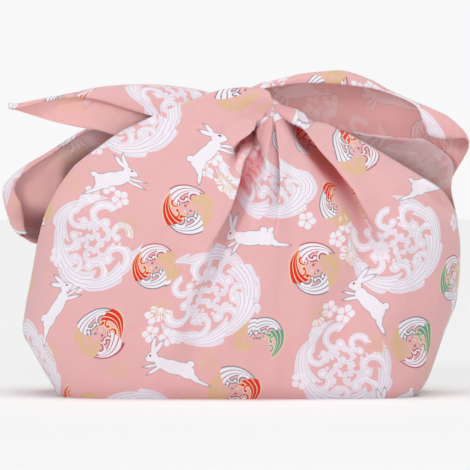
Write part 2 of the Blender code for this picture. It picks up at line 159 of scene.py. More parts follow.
# where a fold leaves its straight line: distances from the knot, and the angle there
foldPaths = {
    "leftTuck": (
        (7.8, 12.0, 17.0, 24.0, 29.0, 33.5, 40.0, 50.0),
        (225.0, 234.0, 231.0, 225.5, 228.0, 232.0, 233.0, 234.0),
    ),
    "valleyUnderIt": ((12.0, 19.0, 25.0, 34.0, 46.0), (240.0, 237.0, 232.5, 233.5, 235.0)),
    "secondTuck": ((15.0, 21.0, 39.0, 59.0, 72.0, 111.0), (243.0, 246.0, 248.0, 246.5, 245.0, 246.5)),
    "stripEdge": ((9.0, 12.6, 16.0, 22.6, 26.0, 34.0), (233.0, 236.5, 244.0, 257.0, 264.0, 272.0)),
    "shadeHollow": ((20.0, 40.0, 60.0, 100.0), (255.0, 254.0, 252.0, 251.5)),
    "middleTuck": ((17.5, 34.0, 51.6, 64.0, 90.0), (276.7, 275.9, 273.3, 271.7, 270.0)),
    "valleyBesideRight": ((19.0, 34.0, 50.0, 80.0), (310.0, 309.0, 308.0, 305.0)),
    "lowerValley": ((60.0, 76.0, 90.0), (308.3, 304.3, 301.0)),
    "rightTuck": (
        (10.0, 19.0, 29.0, 43.0, 57.0, 66.0, 73.0, 96.0),
        (310.0, 311.8, 312.9, 314.5, 314.3, 312.5, 311.7, 311.0),
    ),
    "backMiddleTuck": ((26.0, 60.0, 110.0, 145.0), (264.0, 264.8, 263.3, 262.9)),
}
backFolds = {
    "sideHollow": (214.0, -2.0, 0.0, 6.0, 50.0, 120.0),
    "backLeftTuck": (227.0, 6.0, 3.2, 5.0, 26.0, 96.0),
    "leftRidge": (245.0, 3.5, 0.0, 5.0, 32.0, 96.0),
    "backMiddleTuck": (264.0, 6.0, -3.6, 4.5, 26.0, 150.0),
    "rightHollow": (282.0, -3.0, 0.0, 5.0, 36.0, 104.0),
    "backRightTuck": (300.0, 6.5, 3.4, 5.0, 30.0, 104.0),
    "rightSideRidge": (318.0, 3.0, 0.0, 5.0, 40.0, 104.0),
}

# soft creases: x and z of both ends, width, height
frontCreases = {
    "belowRightTuck": (66.0, 78.0, 50.0, 32.0, 9.0, -4.6),
    "rightOfIt": (84.0, 82.0, 72.0, 26.0, 10.0, 2.6),
    "leftOfIt": (40.0, 68.0, 32.0, 30.0, 8.0, 2.4),
    "middleSoft": (16.0, 78.0, 10.0, 40.0, 7.0, 1.8),
    "leftSoft": (-20.0, 70.0, -36.0, 26.0, 7.0, 2.4),
    "leftSoftHollow": (-6.0, 66.0, -20.0, 22.0, 8.0, -3.0),
    "shoulder": (91.0, 104.5, 108.0, 91.0, 3.4, -4.6),
    "aboveShoulder": (93.0, 110.0, 112.0, 94.0, 4.0, 1.8),
    "lowerLeft": (-88.0, 34.0, -50.0, 8.0, 8.0, -1.4),
    "lowerRight": (95.0, 30.0, 66.0, 8.0, 8.0, -1.3),
    "foot": (-70.0, 7.0, 74.0, 6.0, 5.0, 0.9),
}
backCreases = {
    "middleDrop": (12.0, 84.0, 6.0, 26.0, 7.0, -2.4),
    "leftDrop": (-30.0, 74.0, -46.0, 22.0, 9.0, 1.8),
    "rightDrop": (48.0, 76.0, 60.0, 24.0, 9.0, -1.8),
    "lowerLeft": (-88.0, 36.0, -48.0, 8.0, 9.0, -1.4),
    "lowerRight": (94.0, 32.0, 60.0, 8.0, 9.0, 1.2),
}


def ease(share):
    # 3t^2 - 2t^3, held at 0 below 0 and at 1 above 1
    t = np.clip(share, 0.0, 1.0)
    return t * t * (3.0 - 2.0 * t)


def smoothColumn(table, name, heights):
    # the table's column at any heights, averaged over a bell with the width sectionBlur
    offsets = np.linspace(-2.0, 2.0, 9)
    weights = np.exp(-(offsets**2) / 2.0)
    near = [np.interp(heights + cloth["sectionBlur"] * offset, table["z"], table[name]) for offset in offsets]
    return sum(weight * value for weight, value in zip(weights, near)) / weights.sum()


def edgeReach(table, angles):
    # distance from the knot to the outline at each angle, read off the outline's points
    heights = np.linspace(table["z"][0], table["z"][-1], 400)
    left = np.stack([smoothColumn(table, "left", heights), heights], axis=1)
    right = np.stack([smoothColumn(table, "right", heights), heights], axis=1)
    baseX = np.linspace(left[0, 0], right[0, 0], 120)
    base = np.stack([baseX, np.zeros_like(baseX)], axis=1)
    outline = np.concatenate([left[::-1], base[1:-1], right]) - np.array(cloth["knot"])
    turn = np.degrees(np.arctan2(outline[:, 1], outline[:, 0])) % 360.0
    reach = np.linalg.norm(outline, axis=1)
    below = turn > wrapEdge["angle"][-1] + 1.0
    turn = np.concatenate([wrapEdge["angle"], turn[below]])
    reach = np.concatenate([wrapEdge["radius"], reach[below]])
    keep = np.concatenate([[True], np.diff(np.maximum.accumulate(turn)) > 1e-6])
    return np.interp(angles, turn[keep], reach[keep])


def edgeAngle(name, height):
    # angle from the knot to the outline's left or right edge at a height
    x = float(smoothColumn(frontSections, name, np.array([height]))[0])
    return math.degrees(math.atan2(height - cloth["knot"][1], x - cloth["knot"][0])) % 360.0


leftTurn = edgeAngle("left", cloth["leftShoulder"])
rightTurn = edgeAngle("right", cloth["rightShoulder"])
leftFoot = edgeAngle("left", 0.0)
rightFoot = edgeAngle("right", 0.0)

# each panel's first and last angle, how its right hem bows and where, how far its free hems stay open, and
# the seed of its wrinkles
frontPanel = {
    "angles": (103.0, rightTurn + 4.2),
    "bow": 4.2,
    "bowCrowding": 0.6,
    "fullness": 0.045,
    "seed": 3,
}
backPanel = {"angles": (182.0, 347.4), "bow": -4.5, "bowCrowding": 1.0, "fullness": 0.10, "seed": 8}
bowFrom = 22.0  # degrees from the hem over which the bow dies away


def panelDepth(table, x, z, fullness):
    # bulge * (1 - |across|^n)^(1/n), where a free hem stops short of across = 1
    left, right = smoothColumn(table, "left", z), smoothColumn(table, "right", z)
    across = np.abs((2.0 * x - left - right) / (right - left))
    share = ease((x + 60.0) / 120.0)
    shoulder = cloth["leftShoulder"] + share * (cloth["rightShoulder"] - cloth["leftShoulder"])
    across = np.clip(across * (1.0 - fullness * ease((z - shoulder) / cloth["hemRise"])), 0.0, 1.0)
    square = smoothColumn(table, "square", z)
    return smoothColumn(table, "bulge", z) * (1.0 - across**square) ** (1.0 / square)


def foldSize(name, fold, radius):
    # the fold's height, its half width and the angle of its middle line at each distance from the knot. A
    # crest is never sharper than foldRounding, and a tuck never wider than tuckWidth
    angle, height, lean, halfWidth, fullAt, goneAt = fold
    width = np.maximum(radius, 0.01) * math.radians(halfWidth)
    if lean != 0.0:
        width = np.minimum(width, cloth["tuckWidth"])
    tall = np.minimum(abs(height), width**2 / (2.0 * cloth["foldRounding"])) * math.copysign(1.0, height)
    tall = tall * ease(radius / fullAt) * (1.0 - ease((radius - fullAt) / (goneAt - fullAt)))
    line = np.interp(radius, *foldPaths[name]) if name in foldPaths else angle + np.zeros_like(radius)
    if lean != 0.0:
        past = width - abs(lean / height) * tall
        line = line + math.copysign(1.0, lean) * np.degrees(past / np.maximum(radius, 0.01))
    return tall, width, line


def foldShift(folds, angles, radius, room):
    # a leaning fold is -a * exp((1 - a^2) / 2), a round one exp(-a^2), where a is the distance off its line
    # over its half width. A leaning fold also moves sideways by the same wave
    outward, sideways = np.zeros_like(radius), np.zeros_like(radius)
    for name, fold in folds.items():
        height, lean = fold[1:3]
        tall, width, line = foldSize(name, fold, radius)
        tall = tall * room
        across = np.radians(angles - line) * radius / width
        if lean == 0.0:
            outward += tall * np.exp(-(across**2))
            continue
        side = math.copysign(1.0, lean)
        wave = -side * across * np.exp(0.5 * (1.0 - across**2))
        outward += tall * wave
        sideways += abs(lean / height) * tall * side * wave
    return outward, sideways


def creaseShift(creases, x, z):
    # h * exp(-(d / w)^2), d the distance to the crease's line
    outward = np.zeros_like(x)
    for x0, z0, x1, z1, width, height in creases.values():
        length = math.hypot(x1 - x0, z1 - z0)
        along = np.clip(((x - x0) * (x1 - x0) + (z - z0) * (z1 - z0)) / length**2, 0.0, 1.0)
        gap = np.hypot(x - x0 - along * (x1 - x0), z - z0 - along * (z1 - z0))
        outward += height * np.exp(-((gap / width) ** 2))
    return outward


def ripple(x, z, seed):
    # small wrinkles: a sum of bent sine waves in turned directions
    total = np.zeros_like(x)
    draw = np.random.default_rng(seed)
    for size in cloth["wrinkleSizes"]:
        turn, phase, bend = draw.uniform(0.0, 2.0 * math.pi, 3)
        s = (x * math.cos(turn) + z * math.sin(turn)) / size
        t = (z * math.cos(turn) - x * math.sin(turn)) / size
        wave = np.sin(2.0 * math.pi * (s + 0.35 * np.sin(1.7 * t + bend)) + phase)
        total += size / cloth["wrinkleSizes"][0] * wave
    return total


def sideLengths(table, z):
    # length of a level section from its middle to its edge. The section is the curve |x|^n + |y|^n = 1, drawn
    # out to its half width and its depth
    turn = np.linspace(math.pi / 2.0, 0.0, 49)[None, :]
    half = ((smoothColumn(table, "right", z) - smoothColumn(table, "left", z)) / 2.0)[:, None]
    deep = smoothColumn(table, "bulge", z)[:, None]
    n = smoothColumn(table, "square", z)[:, None]
    size = (np.cos(turn) ** n + np.sin(turn) ** n) ** (-1.0 / n)
    px, py = half * size * np.cos(turn), deep * size * np.sin(turn)
    steps = np.hypot(np.diff(px, axis=1), np.diff(py, axis=1))
    return turn[0], np.concatenate([np.zeros_like(half), np.cumsum(steps, axis=1)], axis=1)


def printPlace(table, x, depth, z, back):
    # the first number is the length round the body from the front's middle, read off the level section, and
    # the last one the length up the body. The back has two of the first, one for each of its halves
    heights = np.linspace(0.0, 156.0, 157)
    turn, lengths = sideLengths(table, heights)
    left, right = smoothColumn(table, "left", z), smoothColumn(table, "right", z)
    middle, half = (right + left) / 2.0, (right - left) / 2.0
    deep = smoothColumn(table, "bulge", z)
    angle = np.arctan2(np.maximum(depth, 0.0) / deep, np.abs(x - middle) / half)
    column = (math.pi / 2.0 - angle) / (math.pi / 2.0) * (len(turn) - 1)
    row = np.clip(z, 0.0, 155.99)
    i, j = np.floor(row).astype(int), np.clip(np.floor(column).astype(int), 0, len(turn) - 2)
    fi, fj = row - i, column - j
    length = (
        lengths[i, j] * (1 - fi) * (1 - fj)
        + lengths[i + 1, j] * fi * (1 - fj)
        + lengths[i, j + 1] * (1 - fi) * fj
        + lengths[i + 1, j + 1] * fi * fj
    )
    signed = np.where(x < middle, -length, length)
    slope = np.gradient(0.8 * smoothColumn(table, "bulge", heights), heights)
    rise = np.concatenate([[0.0], np.cumsum(np.sqrt(1.0 + slope[:-1] ** 2))])
    up = np.interp(z, heights, rise)
    if not back:
        return signed, signed, up
    # each half of the back carries on from the front's side, up to the shoulder where that side opens
    whole = sideLengths(frontSections, heights)[1][:, -1] + lengths[:, -1]
    leftHalf = -np.interp(np.minimum(row, cloth["leftShoulder"]), heights, whole) - signed
    rightHalf = np.interp(np.minimum(row, cloth["rightShoulder"]), heights, whole) - signed
    return leftHalf, rightHalf, up


# the left wing is drawn in behind the front: x and z in millimetres, share of the depth taken
wingPinch = {"from": -72.0, "over": 16.0, "above": 78.0, "rise": 16.0, "share": 0.85, "least": 9.0}


def panel(table, angles, folds, creases, laid):
    # rays from the knot: x = knot + r cos(angle), z = knot + r sin(angle), y from panelDepth and the folds
    front = laid is frontPanel
    steps = np.linspace(0.0, 1.0, cloth["rows"] + 1)[None, :]
    reach = edgeReach(frontSections, angles)
    if not front:
        free = (angles < leftTurn - 1e-6) | (angles > rightTurn + 1e-6)
        reach = np.where(free, edgeReach(table, angles), reach)
    reach = reach[:, None]
    turn = angles[:, None] + np.zeros_like(steps)
    freeBy = np.maximum(leftTurn - turn, turn - rightTurn)
    atHem = ease(freeBy / cloth["hemBlend"])
    crowding = cloth["edgeCrowding"] + (cloth["hemCrowding"] - cloth["edgeCrowding"]) * atHem
    share = 1.0 - (1.0 - steps ** cloth["knotCrowding"]) ** crowding
    # past wrapStart the panel rolls over: its radius and depth follow the sine and cosine of the roll
    over = ease((cloth["wrapStart"] - turn) / cloth["wrapTurn"])
    roll = np.radians(cloth["wrapRoll"]) * steps
    radius = reach * (share + (np.sin(roll) - share) * over)
    bow = laid["bow"] * np.sin(math.pi * share ** laid["bowCrowding"])
    bow = bow * ease((turn - (angles[-1] - bowFrom)) / bowFrom)
    outward, sideways = foldShift(folds, turn, radius, 1.0 - share ** cloth["foldsFade"])
    # painted shade: the depth of each trough, paling away from the knot, by which the material darkens and
    # reddens the cloth's colour
    fadesFrom, fadesTo = cloth["paintedShadeFades"]
    fades = ease((radius - fadesFrom) / (fadesTo - fadesFrom))
    trough = np.maximum(-outward, 0.0) * (1.0 - cloth["paintedShadePales"] * fades)
    around = np.radians(turn)
    x = cloth["knot"][0] + radius * np.cos(around) - bow * np.sin(around)
    z = cloth["knot"][1] + radius * np.sin(around) + bow * np.cos(around)
    near = ease(radius / cloth["neckReach"])
    depth = panelDepth(table, x, np.maximum(z, 0.0), laid["fullness"])
    depth = cloth["neckDepth"] + (depth - cloth["neckDepth"]) * near
    depth += (cloth["neckDepth"] * np.cos(roll) - depth) * over
    u, uRight, v = printPlace(table, x, depth, np.maximum(z, 0.0), not front)
    # distance from the nearest hem
    free = ease(freeBy / cloth["hemOpens"])
    hem = np.where(freeBy > 0.0, reach * (1.0 - share), cloth["noHem"])
    rightHem = np.radians(angles[-1] - turn) * radius
    hem = np.minimum(hem, np.where(turn > cloth["rightHemsStart"], rightHem, cloth["noHem"]))
    if not front:
        wing = ease((wingPinch["from"] - x) / wingPinch["over"])
        wing = wing * ease((z - wingPinch["above"]) / wingPinch["rise"])
        depth = depth - wingPinch["share"] * wing * np.maximum(depth - wingPinch["least"], 0.0)
        leftHem = np.radians(turn - angles[0]) * radius
        hem = np.minimum(hem, np.where(turn < cloth["leftHemsEnd"], leftHem, cloth["noHem"]))
    # creases and wrinkles die away where the panel meets another
    small = creaseShift(creases, x, z) + cloth["wrinkle"] * ripple(x, z, laid["seed"]) * near
    fadeFrom, fadeOver = cloth["smallFades"]
    outward += small * (1.0 - ease((share - fadeFrom) / fadeOver) * (1.0 - free))
    smoothX, smoothZ = x, z
    x = x - sideways * np.sin(around)
    z = z + sideways * np.cos(around)
    z[:, -1] = np.where(np.abs(z[:, -1]) < cloth["onTheGround"], 0.0, z[:, -1])
    z = np.maximum(z, 0.0)
    outward += cloth["hemRaise"] * ease((cloth["hemWidth"] - hem) / cloth["hemStep"]) * free
    # below the shoulders front and back meet on the middle plane
    total = depth + outward
    shared = (angles >= leftTurn - 1e-6) & (angles <= rightTurn + 1e-6)
    onSide = shared & (z[:, -1] > cloth["onTheGround"])
    total[:, -1] = np.where(onSide, 0.0, total[:, -1])
    y = total * (-1.0 if front else 1.0)
    points = np.stack([x, y, z], axis=2)
    taken = printTakenUp(folds, turn, radius, points, np.stack([smoothX, depth, smoothZ], axis=2))
    taken = taken if front else -taken
    return {"points": points, "u": u + taken, "uRight": uRight + taken, "v": v, "hem": hem, "trough": trough}


def printTakenUp(folds, turn, radius, folded, smooth):
    # the length that folds take up along each row, counted from a line between every two tucks, so that the
    # print keeps its size on the folds and breaks only in the tucks' hidden troughs
    extra = np.linalg.norm(np.diff(folded, axis=0), axis=2) - np.linalg.norm(np.diff(smooth, axis=0), axis=2)
    taken = np.concatenate([np.zeros((1, turn.shape[1])), np.cumsum(np.maximum(extra, 0.0), axis=0)])
    tucks = {name: fold for name, fold in folds.items() if fold[2] != 0.0 and fold[5] > cloth["longTuck"]}
    zone = np.zeros(turn.shape, dtype=int)
    middles, jump = [], np.zeros_like(taken)
    for name, fold in tucks.items():
        width, line = foldSize(name, fold, radius)[1:]
        trough = line + math.copysign(1.0, fold[2]) * np.degrees(width / np.maximum(radius, 0.01))
        middles.append(float(trough[0, trough.shape[1] // 2]))
        past = turn > trough
        zone += past
        jump += past * math.copysign(cloth["hiddenLength"], fold[2]) * (1.0 - ease(radius / (0.8 * fold[5])))
    between = [(a + b) / 2.0 for a, b in zip(middles, middles[1:])]
    lines = [middles[0] - cloth["beyondTucks"][0]] + between + [middles[-1] + cloth["beyondTucks"][1]]
    start = np.stack([taken[int(np.argmin(np.abs(turn[:, 0] - line)))] for line in lines])
    return taken + jump - np.take_along_axis(start, zone, axis=0)


def evenAngles(first, last):
    # angles from first to last, with the spacing that columnStep gives, closest where the pleats are
    fine = np.linspace(first, last, 200)
    step = np.interp(fine, cloth["columnAt"], cloth["columnStep"])
    count = np.concatenate([[0.0], np.cumsum(2.0 * np.diff(fine) / (step[1:] + step[:-1]))])
    return np.interp(np.linspace(0.0, count[-1], max(2, round(count[-1]) + 1)), count, fine)


def smoothRows(table, steps):
    # a Catmull-Rom curve through the rows of a table, the same in every column
    rows = np.asarray(table)
    place = np.linspace(0.0, len(rows) - 1.0, steps)
    i = np.clip(np.floor(place).astype(int), 0, len(rows) - 2)
    t = (place - i)[:, None]
    p0, p1 = rows[np.maximum(i - 1, 0)], rows[i]
    p2, p3 = rows[i + 1], rows[np.minimum(i + 2, len(rows) - 1)]
    square, cube = 2 * p0 - 5 * p1 + 4 * p2 - p3, 3 * p1 - p0 - 3 * p2 + p3
    return 0.5 * (2 * p1 + (p2 - p0) * t + square * t**2 + cube * t**3)


leftEnd = {
    "steps": 96,
    "wallRows": 22,
    "lipRows": 10,
    "pleat": 1.0,
    "seed": 21,
    "printAt": (-40.0, 210.0),
    "printWay": -1.0,
    # x, foot, ridge, lip, depth of wall, ridge and lip
    "rows": [
        (4.0, 137.0, 146.0, 3.0, 7.0, 4.0, 0.0),
        (-14.0, 130.0, 151.0, 11.0, 8.0, 8.0, 0.0),
        (-30.0, 127.0, 153.5, 16.0, 4.0, 9.0, -4.0),
        (-42.5, 126.0, 154.5, 15.0, 1.0, 8.0, -6.5),
        (-55.0, 127.5, 154.3, 11.2, -1.0, 6.0, -8.0),
        (-67.0, 131.5, 153.3, 6.5, -1.0, 4.0, -7.0),
        (-78.0, 133.4, 151.2, 2.6, 0.0, 1.0, -6.0),
        (-90.0, 136.0, 149.0, 1.8, 1.0, -2.0, -6.0),
        (-100.0, 139.0, 147.0, 2.0, 1.0, -5.0, -8.0),
        (-108.0, 141.6, 145.6, 2.6, -4.0, -7.0, -10.0),
        (-113.0, 142.6, 145.8, 2.6, -8.0, -9.0, -11.0),
    ],
}
rightEnd = {
    "steps": 110,
    "wallRows": 26,
    "lipRows": 10,
    "pleat": 1.1,
    "seed": 34,
    "printAt": (60.0, 300.0),
    "printWay": 1.0,
    "rows": [
        (5.0, 139.0, 151.5, 2.4, 9.0, 4.0, 0.0),
        (12.0, 137.0, 155.0, 3.0, 13.0, 5.0, 0.0),
        (20.0, 135.0, 157.0, 3.2, 16.0, 6.0, 0.0),
        (32.5, 131.0, 160.0, 4.7, 22.0, 9.0, 2.0),
        (45.0, 126.0, 161.3, 6.0, 27.0, 12.0, 4.0),
        (55.0, 122.0, 161.5, 7.0, 30.0, 14.0, 5.0),
        (67.5, 117.0, 157.4, 4.4, 32.0, 16.0, 8.0),
        (77.5, 113.0, 152.0, 1.8, 32.0, 17.0, 11.0),
        (87.0, 109.0, 147.6, 1.4, 30.0, 16.0, 10.0),
        (92.0, 107.0, 145.4, 3.4, 28.0, 14.0, 7.0),
        (95.5, 105.5, 144.0, 13.0, 27.0, 12.0, 3.0),
        (101.0, 103.8, 141.6, 13.5, 25.0, 10.0, 1.0),
        (106.0, 102.6, 139.2, 11.5, 22.0, 8.0, 0.0),
        (111.0, 111.0, 135.2, 7.5, 18.0, 6.0, 0.0),
        (115.0, 118.0, 131.0, 3.0, 13.0, 5.0, 1.0),
        (117.3, 123.0, 127.0, 1.4, 8.0, 5.0, 3.0),
    ],
}


# pleats of the ends: how many, how they sway, from where to where they fade, share kept flat at each edge
endPleats = {"count": 4.0, "sway": 0.15, "swayLength": 17.0, "fade": 30.0, "start": 8.0, "flat": 0.12}
endShape = {"leastLip": 1.2, "wrinkle": 0.7, "tipHem": 1.2}


def tiedEnd(end):
    # the section is a quarter turn up the far wall and a quarter turn down the lip, carried along x
    rows = smoothRows(end["rows"], end["steps"])
    x, foot, ridge, lip, wallY, ridgeY, lipY = (rows[:, k : k + 1] for k in range(7))
    lip = np.maximum(lip, endShape["leastLip"])
    up = np.linspace(0.0, 1.0, end["wallRows"] + 1)[None, :] * math.pi / 2.0
    down = np.linspace(0.0, 1.0, end["lipRows"] + 1)[None, 1:] * math.pi / 2.0
    wallZ = foot + (ridge - foot) * np.sin(up)
    wallDepth = wallY + (ridgeY - wallY) * (1.0 - np.cos(up))
    lipZ = ridge - lip * (1.0 - np.cos(down))
    lipDepth = ridgeY + (lipY - ridgeY) * np.sin(down)
    z = np.concatenate([wallZ, lipZ], axis=1)
    y = np.concatenate([wallDepth, lipDepth], axis=1)
    x = x + np.zeros_like(z)
    fromKnot = np.abs(x - x[0, 0])
    spread = np.linspace(0.0, 1.0, z.shape[1])[None, :]
    sway = endPleats["sway"] * np.sin(fromKnot / endPleats["swayLength"])
    pleats = np.sin(2.0 * math.pi * (endPleats["count"] * spread + sway))
    pleats = pleats * np.exp(-fromKnot / endPleats["fade"]) * ease(fromKnot / endPleats["start"])
    inside = ease(spread / endPleats["flat"]) * ease((1.0 - spread) / endPleats["flat"])
    y = y + end["pleat"] * pleats * inside
    y = y + cloth["wrinkle"] * endShape["wrinkle"] * ripple(x, z, end["seed"]) * inside
    across = np.concatenate([np.zeros((len(x), 1)), np.hypot(np.diff(z, axis=1), np.diff(y, axis=1))], axis=1)
    v = np.cumsum(across, axis=1)
    step = np.hypot(np.diff(x[:, 0]), np.diff(ridge[:, 0]))
    u = np.concatenate([[0.0], np.cumsum(step)])[:, None] * end["printWay"] + np.zeros_like(x)
    hem = np.minimum(v[:, -1:] - v, np.abs(x - x[-1, 0]) * endShape["tipHem"])
    hem = np.minimum(hem, v)
    points = np.stack([x, y, z], axis=2)
    return {"points": points, "u": u + end["printAt"][0], "v": v + end["printAt"][1], "hem": hem}


wingLip = {
    "angle": [184.0, 188.0, 192.0, 196.0, 200.0, 204.0, 207.5],
    "turnIn": [1.2, 1.6, 2.4, 5.0, 9.0, 8.0, 4.0],
    "forward": [2.0, 2.6, 3.6, 5.5, 8.0, 7.5, 5.0],
    "rows": 9,
    "towards": (-40.0, 95.0),  # x and z of the point that the lip turns in to
    "arc": 0.78,  # a quarter ellipse is about this share of its two half axes
}


def rolledLip(back, angles):
    # the wing's edge rolls forward through a quarter turn and in towards the body
    wing = (angles >= wingLip["angle"][0]) & (angles <= wingLip["angle"][-1])
    ridge, turn = back["points"][wing, -1], angles[wing]
    turnIn = np.interp(turn, wingLip["angle"], wingLip["turnIn"])[:, None]
    forward = np.interp(turn, wingLip["angle"], wingLip["forward"])[:, None]
    inward = np.array(wingLip["towards"]) - ridge[:, [0, 2]]
    inward = inward / np.linalg.norm(inward, axis=1)[:, None]
    roll = np.linspace(0.0, math.pi / 2.0, wingLip["rows"] + 1)[None, :]
    x = ridge[:, 0:1] + inward[:, 0:1] * turnIn * (1.0 - np.cos(roll))
    z = ridge[:, 2:3] + inward[:, 1:2] * turnIn * (1.0 - np.cos(roll))
    y = ridge[:, 1:2] - forward * np.sin(roll)
    length = (turnIn + forward) * wingLip["arc"] * roll / (math.pi / 2.0)
    u = back["u"][wing, -1][:, None] - length
    v = back["v"][wing, -1][:, None] + 0.4 * length
    hem = length[:, -1:] - length
    return {"points": np.stack([x, y, z], axis=2), "u": u, "v": v, "hem": hem}


knotLump = {
    "centre": (5.0, 1.5, 142.5),
    "half": (19.0, 11.0, 8.0),
    "creases": 7,
    "depth": 0.12,
    "grid": (96, 40),
    "pole": 0.02,
    "printAt": (120.0, 400.0),
    "printRound": 9.0,
}


def knot():
    # an ellipsoid whose y and z are drawn in by cos^2 creases that wind along x
    around = np.linspace(0.0, 2.0 * math.pi, knotLump["grid"][0] + 1)[:, None]
    along = np.linspace(knotLump["pole"], math.pi - knotLump["pole"], knotLump["grid"][1] + 1)[None, :]
    x = np.cos(along) + np.zeros_like(around)
    wind = around + 0.5 * x
    crease = 1.0 - knotLump["depth"] * (1.0 - x * x) * (0.5 + 0.5 * np.cos(knotLump["creases"] * wind)) ** 2
    y = np.sin(along) * np.sin(around) * crease
    z = np.sin(along) * np.cos(around) * crease
    points = np.stack([x, y, z], axis=2) * np.array(knotLump["half"]) + np.array(knotLump["centre"])
    u = -x * knotLump["half"][0] + knotLump["printAt"][0]
    v = around * knotLump["printRound"] + np.zeros_like(x) + knotLump["printAt"][1]
    return {"points": points, "u": u, "v": v, "hem": np.full_like(x, cloth["noHem"])}


def flatBase(frontFoot, backFoot):
    # straight lines from the front's foot to the back's
    t = np.linspace(0.0, 1.0, cloth["baseRows"] + 1)[None, :, None]
    points = frontFoot[:, None, :] * (1.0 - t) + backFoot[:, None, :] * t
    hem = np.full(points.shape[:2], cloth["noHem"])
    return {"points": points, "u": points[:, :, 0], "v": -(points[:, :, 1] + cloth["baseFront"]), "hem": hem}


def addGrid(piles, grid, facing):
    # the quads of a grid, turned so that their right side faces one way, or away from the grid's own middle
    points = grid["points"]
    across = np.cross(points[1:, :-1] - points[:-1, :-1], points[:-1, 1:] - points[:-1, :-1])
    way = points[:-1, :-1] - points.mean(axis=(0, 1)) if facing is None else np.array(facing)
    flip = (across * way).sum() < 0.0
    columns, rows = points.shape[:2]
    start = sum(len(p) for p in piles["points"])
    index = start + np.arange(columns * rows).reshape(columns, rows)
    quads = np.stack([index[:-1, :-1], index[1:, :-1], index[1:, 1:], index[:-1, 1:]], axis=2).reshape(-1, 4)
    piles["quads"].append(quads[:, ::-1] if flip else quads)
    piles["points"].append(points.reshape(-1, 3))
    piles["place"].append(np.stack([grid["u"], grid["v"]], axis=2).reshape(-1, 2))
    piles["hem"].append(np.broadcast_to(grid["hem"], (columns, rows)).reshape(-1))
    piles["trough"].append(np.broadcast_to(grid.get("trough", 0.0), (columns, rows)).reshape(-1))


mergeWithin = {"seams": 0.03, "slivers": 0.002}  # distances under which points and edges are made one


def clothObject(objectName, piles, shift):
    # all grids as one mesh, merged where they meet, with the print's place as its UV map. The cloth's
    # thickness is added inwards
    points = np.concatenate(piles["points"]) + shift
    quads = np.concatenate(piles["quads"])
    place = np.concatenate(piles["place"]) * mm
    mesh = bpy.data.meshes.new(objectName)
    mesh.from_pydata((points * mm).tolist(), [], quads.tolist())
    uvLayer = mesh.uv_layers.new(name="printPlace")
    corners = quads.reshape(-1)
    uvLayer.data.foreach_set("uv", place[corners].reshape(-1).astype(np.float32))
    for name in ("hem", "trough"):
        layer = mesh.attributes.new(name, "FLOAT", "POINT")
        layer.data.foreach_set("value", np.concatenate(piles[name]).astype(np.float32))
    work = bmesh.new()
    work.from_mesh(mesh)
    bmesh.ops.remove_doubles(work, verts=work.verts, dist=mergeWithin["seams"] * mm)
    bmesh.ops.dissolve_degenerate(work, edges=work.edges, dist=mergeWithin["slivers"] * mm)
    work.to_mesh(mesh)
    work.free()
    mesh.shade_smooth()
    piece = bpy.data.objects.new(objectName, mesh)
    bpy.context.scene.collection.objects.link(piece)
    solid = piece.modifiers.new("cloth", "SOLIDIFY")
    solid.thickness = cloth["thickness"] * mm
    solid.offset = -1.0
    solid.material_offset = 1
    solid.material_offset_rim = 0
    return piece


def buildCloth():
    # the panels share their angles where they meet, at the sides and round the base
    corners = [leftTurn, leftFoot, rightFoot, rightTurn]
    shared = np.unique(np.concatenate([evenAngles(a, b) for a, b in zip(corners, corners[1:])]))
    frontAngles, backAngles = (
        np.concatenate([evenAngles(first, leftTurn)[:-1], shared, evenAngles(rightTurn, last)[1:]])
        for first, last in (frontPanel["angles"], backPanel["angles"])
    )
    front = panel(frontSections, frontAngles, frontFolds, frontCreases, frontPanel)
    back = panel(backSections, backAngles, backFolds, backCreases, backPanel)
    onFoot = (shared >= leftFoot - 1e-6) & (shared <= rightFoot + 1e-6)
    frontFoot = front["points"][np.isin(frontAngles, shared[onFoot]), -1]
    backFoot = back["points"][np.isin(backAngles, shared[onFoot]), -1]
    piles = {"points": [], "quads": [], "place": [], "hem": [], "trough": []}
    addGrid(piles, front, (0.0, -1.0, 0.0))
    # the back's print meets itself in the trough of the middle tuck, so that each half is a grid of its own
    middle = int(np.argmin(np.abs(backAngles - cloth["backMeets"])))
    for half, place in ((slice(0, middle + 1), "u"), (slice(middle, None), "uRight")):
        part = {name: back[name][half] for name in back}
        part["u"] = part[place]
        addGrid(piles, part, (0.0, 1.0, 0.0))
    addGrid(piles, flatBase(frontFoot, backFoot), (0.0, 0.0, -1.0))
    addGrid(piles, rolledLip(back, backAngles), (-1.0, 0.0, 0.3))
    addGrid(piles, tiedEnd(leftEnd), (0.0, 1.0, 0.4))
    addGrid(piles, tiedEnd(rightEnd), (0.0, 1.0, 0.4))
    addGrid(piles, knot(), None)
    low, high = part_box("furoshiki_cloth")
    middleY = (low[1] + high[1]) / 2.0 / mm
    piece = clothObject("furoshikiCloth", piles, np.array([0.0, middleY, 0.0]))
    print("cloth made")
    return piece


class Wire:
    # the output of a shader node. A formula of wires and numbers adds the Math nodes that work it out
    def __init__(self, socket):
        self.socket, self.tree = socket, socket.id_data

    def __add__(self, other):
        return calc("ADD", self, other)

    def __sub__(self, other):
        return calc("SUBTRACT", self, other)

    def __rsub__(self, other):
        return calc("SUBTRACT", other, self)

    def __mul__(self, other):
        return calc("MULTIPLY", self, other)

    def __truediv__(self, other):
        return calc("DIVIDE", self, other)

    def __rtruediv__(self, other):
        return calc("DIVIDE", other, self)

    def __abs__(self):
        return calc("ABSOLUTE", self)

    def __gt__(self, other):
        return calc("GREATER_THAN", self, other)

    def __lt__(self, other):
        return calc("LESS_THAN", self, other)


def addNode(tree, kind, inputs, **settings):
    # inputs are wires or constants, by name or number
    node = tree.nodes.new(kind)
    for label, value in settings.items():
        setattr(node, label, value)
    for label, value in inputs.items():
        if isinstance(value, Wire):
            tree.links.new(value.socket, node.inputs[label])
        else:
            node.inputs[label].default_value = value
    return node


